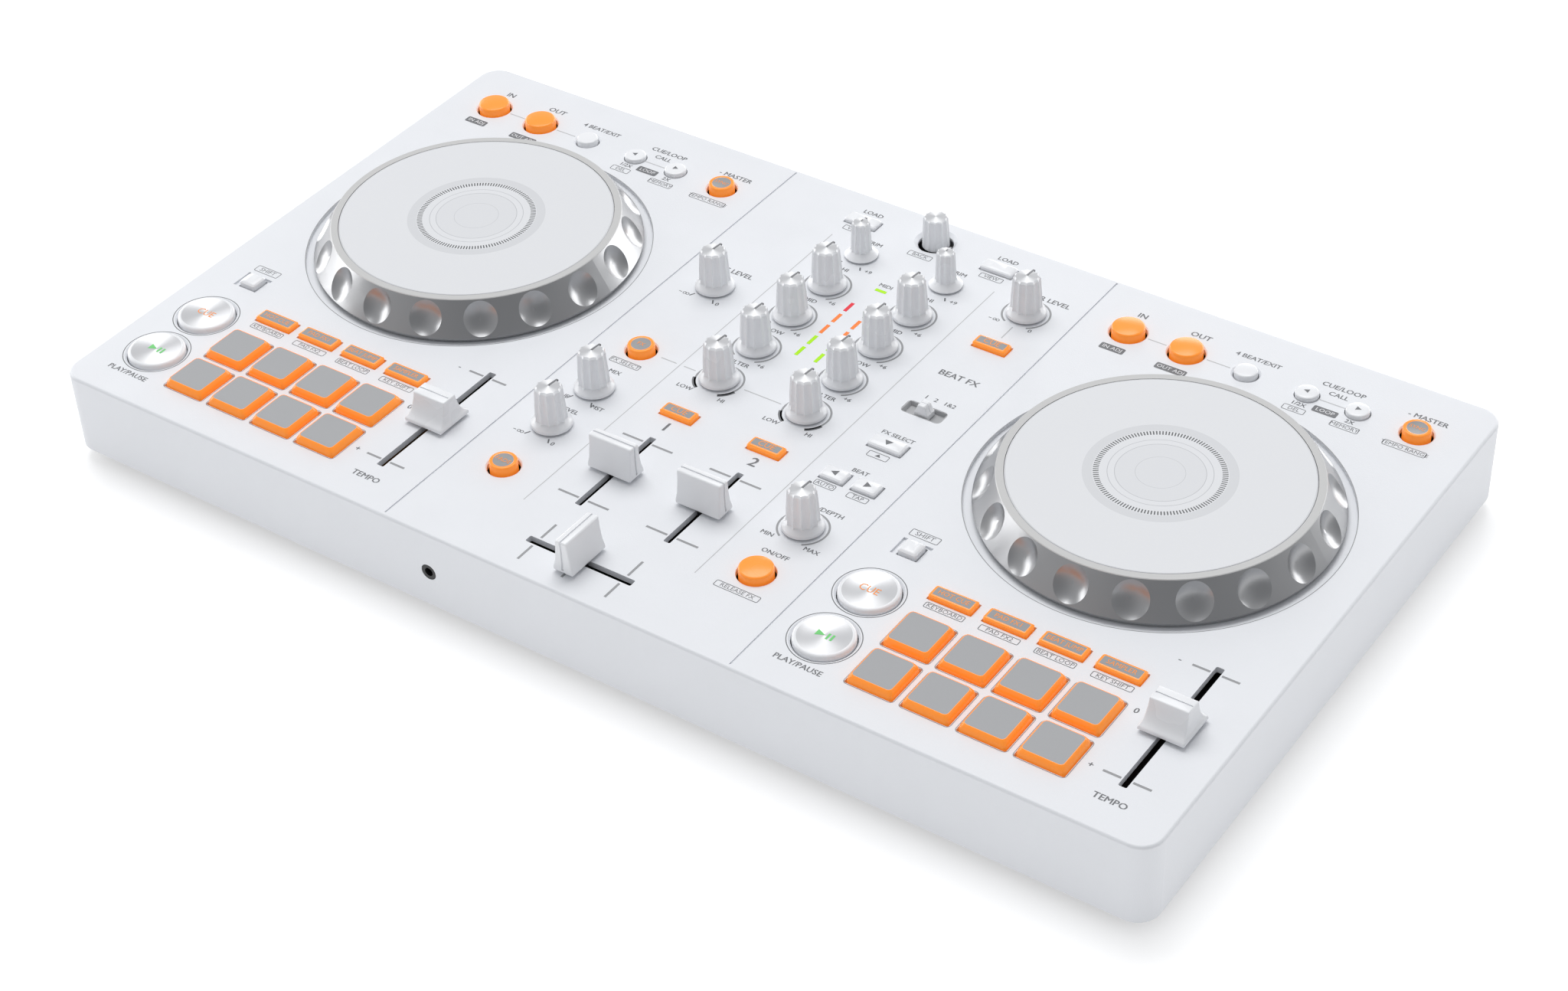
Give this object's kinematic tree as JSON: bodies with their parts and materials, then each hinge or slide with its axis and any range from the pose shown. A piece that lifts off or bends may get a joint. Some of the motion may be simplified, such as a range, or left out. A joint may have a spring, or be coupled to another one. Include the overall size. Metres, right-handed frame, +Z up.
{
  "type": "dj controller",
  "caption": "Two-deck DJ controller with jog wheels, backlit pads, channel strips of knobs and faders, and a crossfader in one flat case.",
  "frame": {"origin": "centre of the overall footprint, on the surface that the rubber feet stand on", "axes": "+X to the player's right, +Y from the player towards the rear sockets, +Z up"},
  "size_m": [0.482, 0.2724, 0.0592],
  "materials": {
    "white_shell": "fine texture",
    "dark_shell": "fine texture",
    "foot_rubber": "matte",
    "steel": "satin",
    "board": "solder mask",
    "black_plastic": "matte",
    "chrome_plate": "polished",
    "lens": "diffusing",
    "silver_ring": "satin metallic",
    "white_cap": "semi gloss",
    "orange_key": "translucent",
    "metal_key": "spun",
    "pad_rubber": "matte"
  },
  "bodies": {
    "case": {"top_cover": "white_shell", "bottom_cover": "dark_shell", "rubber_feet": "foot_rubber", "case_screws": "steel", "circuit_boards": "board", "control_bodies": "black_plastic", "rca_jacks": "chrome_plate", "signal_sockets": "black_plastic", "meter_lenses": "lens", "jog_spindles": "steel"},
    "left_jog": {"left_jog_ring": "silver_ring", "left_jog_plate": "white_cap"},
    "right_jog": {"right_jog_ring": "silver_ring", "right_jog_plate": "white_cap"},
    "trim_1": {"trim_1": "white_cap"},
    "trim_2": {"trim_2": "white_cap"},
    "hi_1": {"hi_1": "white_cap"},
    "hi_2": {"hi_2": "white_cap"},
    "mid_1": {"mid_1": "white_cap"},
    "mid_2": {"mid_2": "white_cap"},
    "low_1": {"low_1": "white_cap"},
    "low_2": {"low_2": "white_cap"},
    "filter_1": {"filter_1": "white_cap"},
    "filter_2": {"filter_2": "white_cap"},
    "mic_level": {"mic_level": "white_cap"},
    "headphones_mix": {"headphones_mix": "white_cap"},
    "headphones_level": {"headphones_level": "white_cap"},
    "master_level": {"master_level": "white_cap"},
    "effect_depth": {"effect_depth": "white_cap"},
    "browse_shaft": {"browse_shaft": "steel"},
    "browse_knob": {"browse_knob": "white_cap"},
    "channel_fader_1": {"channel_fader_1": "white_cap"},
    "channel_fader_2": {"channel_fader_2": "white_cap"},
    "crossfader": {"crossfader": "white_cap"},
    "left_tempo_fader": {"left_tempo_fader": "white_cap"},
    "right_tempo_fader": {"right_tempo_fader": "white_cap"},
    "channel_select": {"channel_select": "white_cap"},
    "left_loop_keys": {"left_loop_keys": "orange_key"},
    "left_sync": {"left_sync": "orange_key"},
    "left_shift": {"left_shift": "white_cap"},
    "left_cue": {"left_cue": "metal_key"},
    "left_play": {"left_play": "metal_key"},
    "left_mode_keys": {"left_mode_keys": "orange_key"},
    "left_pads": {"left_pads": "pad_rubber"},
    "right_loop_keys": {"right_loop_keys": "orange_key"},
    "right_sync": {"right_sync": "orange_key"},
    "right_shift": {"right_shift": "white_cap"},
    "right_cue": {"right_cue": "metal_key"},
    "right_play": {"right_play": "metal_key"},
    "right_mode_keys": {"right_mode_keys": "orange_key"},
    "right_pads": {"right_pads": "pad_rubber"},
    "smart_effect": {"smart_effect": "orange_key"},
    "smart_fader": {"smart_fader": "orange_key"},
    "load_1": {"load_1": "white_cap"},
    "load_2": {"load_2": "white_cap"},
    "channel_cue_1": {"channel_cue_1": "orange_key"},
    "channel_cue_2": {"channel_cue_2": "orange_key"},
    "master_cue": {"master_cue": "orange_key"},
    "fx_keys": {"fx_keys": "white_cap"},
    "fx_on": {"fx_on": "orange_key"}
  },
  "joints": [
    {"name": "left_jog_spin", "type": "hinge", "parent": "case", "child": "left_jog", "pos_m": [-0.1572, 0.01925, 0.0407], "axis": [0, 0, 1], "continuous": true},
    {"name": "right_jog_spin", "type": "hinge", "parent": "case", "child": "right_jog", "pos_m": [0.1572, 0.01925, 0.0407], "axis": [0, 0, 1], "continuous": true},
    {"name": "trim_1_turn", "type": "hinge", "parent": "case", "child": "trim_1", "pos_m": [-0.02, 0.0938, 0.0407], "axis": [0, 0, 1], "range_deg": [-150, 150]},
    {"name": "trim_2_turn", "type": "hinge", "parent": "case", "child": "trim_2", "pos_m": [0.02, 0.0938, 0.0407], "axis": [0, 0, 1], "range_deg": [-150, 150]},
    {"name": "hi_1_turn", "type": "hinge", "parent": "case", "child": "hi_1", "pos_m": [-0.02, 0.06915, 0.0407], "axis": [0, 0, 1], "range_deg": [-150, 150]},
    {"name": "hi_2_turn", "type": "hinge", "parent": "case", "child": "hi_2", "pos_m": [0.02, 0.06915, 0.0407], "axis": [0, 0, 1], "range_deg": [-150, 150]},
    {"name": "mid_1_turn", "type": "hinge", "parent": "case", "child": "mid_1", "pos_m": [-0.02, 0.0446, 0.0407], "axis": [0, 0, 1], "range_deg": [-150, 150]},
    {"name": "mid_2_turn", "type": "hinge", "parent": "case", "child": "mid_2", "pos_m": [0.02, 0.0446, 0.0407], "axis": [0, 0, 1], "range_deg": [-150, 150]},
    {"name": "low_1_turn", "type": "hinge", "parent": "case", "child": "low_1", "pos_m": [-0.02, 0.02, 0.0407], "axis": [0, 0, 1], "range_deg": [-150, 150]},
    {"name": "low_2_turn", "type": "hinge", "parent": "case", "child": "low_2", "pos_m": [0.02, 0.02, 0.0407], "axis": [0, 0, 1], "range_deg": [-150, 150]},
    {"name": "filter_1_turn", "type": "hinge", "parent": "case", "child": "filter_1", "pos_m": [-0.02, -0.0046, 0.0407], "axis": [0, 0, 1], "range_deg": [-150, 150]},
    {"name": "filter_2_turn", "type": "hinge", "parent": "case", "child": "filter_2", "pos_m": [0.02, -0.0046, 0.0407], "axis": [0, 0, 1], "range_deg": [-150, 150]},
    {"name": "mic_level_turn", "type": "hinge", "parent": "case", "child": "mic_level", "pos_m": [-0.0572, 0.0446, 0.0407], "axis": [0, 0, 1], "range_deg": [-150, 150]},
    {"name": "headphones_mix_turn", "type": "hinge", "parent": "case", "child": "headphones_mix", "pos_m": [-0.0572, -0.0345, 0.0407], "axis": [0, 0, 1], "range_deg": [-150, 150]},
    {"name": "headphones_level_turn", "type": "hinge", "parent": "case", "child": "headphones_level", "pos_m": [-0.0572, -0.0608, 0.0407], "axis": [0, 0, 1], "range_deg": [-150, 150]},
    {"name": "master_level_turn", "type": "hinge", "parent": "case", "child": "master_level", "pos_m": [0.057, 0.0938, 0.0407], "axis": [0, 0, 1], "range_deg": [-150, 150]},
    {"name": "effect_depth_turn", "type": "hinge", "parent": "case", "child": "effect_depth", "pos_m": [0.057, -0.0608, 0.0407], "axis": [0, 0, 1], "range_deg": [-150, 150]},
    {"name": "browse_push", "type": "slide", "parent": "case", "child": "browse_shaft", "axis": [0, 0, -1], "range_m": [0, 0.0005], "stiffness_N_per_m": 900, "springref_m": -0.001},
    {"name": "browse_turn", "type": "hinge", "parent": "browse_shaft", "child": "browse_knob", "pos_m": [0, 0.1181, 0.0407], "axis": [0, 0, 1], "continuous": true},
    {"name": "channel_fader_1_slide", "type": "slide", "parent": "case", "child": "channel_fader_1", "axis": [0, 1, 0], "range_m": [-0.0196, 0.0196]},
    {"name": "channel_fader_2_slide", "type": "slide", "parent": "case", "child": "channel_fader_2", "axis": [0, 1, 0], "range_m": [-0.0196, 0.0196]},
    {"name": "crossfader_slide", "type": "slide", "parent": "case", "child": "crossfader", "axis": [1, 0, 0], "range_m": [-0.0194, 0.0194]},
    {"name": "left_tempo_fader_slide", "type": "slide", "parent": "case", "child": "left_tempo_fader", "axis": [0, 1, 0], "range_m": [-0.03, 0.03]},
    {"name": "right_tempo_fader_slide", "type": "slide", "parent": "case", "child": "right_tempo_fader", "axis": [0, 1, 0], "range_m": [-0.03, 0.03]},
    {"name": "channel_select_slide", "type": "slide", "parent": "case", "child": "channel_select", "axis": [1, 0, 0], "range_m": [-0.004, 0.004]},
    {"name": "left_loop_keys_press", "type": "slide", "parent": "case", "child": "left_loop_keys", "axis": [0, 0, -1], "range_m": [0, 0.0005], "stiffness_N_per_m": 900, "springref_m": -0.001},
    {"name": "left_sync_press", "type": "slide", "parent": "case", "child": "left_sync", "axis": [0, 0, -1], "range_m": [0, 0.0005], "stiffness_N_per_m": 900, "springref_m": -0.001},
    {"name": "left_shift_press", "type": "slide", "parent": "case", "child": "left_shift", "axis": [0, 0, -1], "range_m": [0, 0.0005], "stiffness_N_per_m": 900, "springref_m": -0.001},
    {"name": "left_cue_press", "type": "slide", "parent": "case", "child": "left_cue", "axis": [0, 0, -1], "range_m": [0, 0.0008], "stiffness_N_per_m": 900, "springref_m": -0.001},
    {"name": "left_play_press", "type": "slide", "parent": "case", "child": "left_play", "axis": [0, 0, -1], "range_m": [0, 0.0008], "stiffness_N_per_m": 900, "springref_m": -0.001},
    {"name": "left_mode_keys_press", "type": "slide", "parent": "case", "child": "left_mode_keys", "axis": [0, 0, -1], "range_m": [0, 0.0005], "stiffness_N_per_m": 900, "springref_m": -0.001},
    {"name": "left_pads_press", "type": "slide", "parent": "case", "child": "left_pads", "axis": [0, 0, -1], "range_m": [0, 0.0008], "stiffness_N_per_m": 900, "springref_m": -0.001},
    {"name": "right_loop_keys_press", "type": "slide", "parent": "case", "child": "right_loop_keys", "axis": [0, 0, -1], "range_m": [0, 0.0005], "stiffness_N_per_m": 900, "springref_m": -0.001},
    {"name": "right_sync_press", "type": "slide", "parent": "case", "child": "right_sync", "axis": [0, 0, -1], "range_m": [0, 0.0005], "stiffness_N_per_m": 900, "springref_m": -0.001},
    {"name": "right_shift_press", "type": "slide", "parent": "case", "child": "right_shift", "axis": [0, 0, -1], "range_m": [0, 0.0005], "stiffness_N_per_m": 900, "springref_m": -0.001},
    {"name": "right_cue_press", "type": "slide", "parent": "case", "child": "right_cue", "axis": [0, 0, -1], "range_m": [0, 0.0008], "stiffness_N_per_m": 900, "springref_m": -0.001},
    {"name": "right_play_press", "type": "slide", "parent": "case", "child": "right_play", "axis": [0, 0, -1], "range_m": [0, 0.0008], "stiffness_N_per_m": 900, "springref_m": -0.001},
    {"name": "right_mode_keys_press", "type": "slide", "parent": "case", "child": "right_mode_keys", "axis": [0, 0, -1], "range_m": [0, 0.0005], "stiffness_N_per_m": 900, "springref_m": -0.001},
    {"name": "right_pads_press", "type": "slide", "parent": "case", "child": "right_pads", "axis": [0, 0, -1], "range_m": [0, 0.0008], "stiffness_N_per_m": 900, "springref_m": -0.001},
    {"name": "smart_effect_press", "type": "slide", "parent": "case", "child": "smart_effect", "axis": [0, 0, -1], "range_m": [0, 0.0005], "stiffness_N_per_m": 900, "springref_m": -0.001},
    {"name": "smart_fader_press", "type": "slide", "parent": "case", "child": "smart_fader", "axis": [0, 0, -1], "range_m": [0, 0.0005], "stiffness_N_per_m": 900, "springref_m": -0.001},
    {"name": "load_1_press", "type": "slide", "parent": "case", "child": "load_1", "axis": [0, 0, -1], "range_m": [0, 0.0005], "stiffness_N_per_m": 900, "springref_m": -0.001},
    {"name": "load_2_press", "type": "slide", "parent": "case", "child": "load_2", "axis": [0, 0, -1], "range_m": [0, 0.0005], "stiffness_N_per_m": 900, "springref_m": -0.001},
    {"name": "channel_cue_1_press", "type": "slide", "parent": "case", "child": "channel_cue_1", "axis": [0, 0, -1], "range_m": [0, 0.0005], "stiffness_N_per_m": 900, "springref_m": -0.001},
    {"name": "channel_cue_2_press", "type": "slide", "parent": "case", "child": "channel_cue_2", "axis": [0, 0, -1], "range_m": [0, 0.0005], "stiffness_N_per_m": 900, "springref_m": -0.001},
    {"name": "master_cue_press", "type": "slide", "parent": "case", "child": "master_cue", "axis": [0, 0, -1], "range_m": [0, 0.0005], "stiffness_N_per_m": 900, "springref_m": -0.001},
    {"name": "fx_keys_press", "type": "slide", "parent": "case", "child": "fx_keys", "axis": [0, 0, -1], "range_m": [0, 0.0005], "stiffness_N_per_m": 900, "springref_m": -0.001},
    {"name": "fx_on_press", "type": "slide", "parent": "case", "child": "fx_on", "axis": [0, 0, -1], "range_m": [0, 0.0005], "stiffness_N_per_m": 900, "springref_m": -0.001}
  ]
}
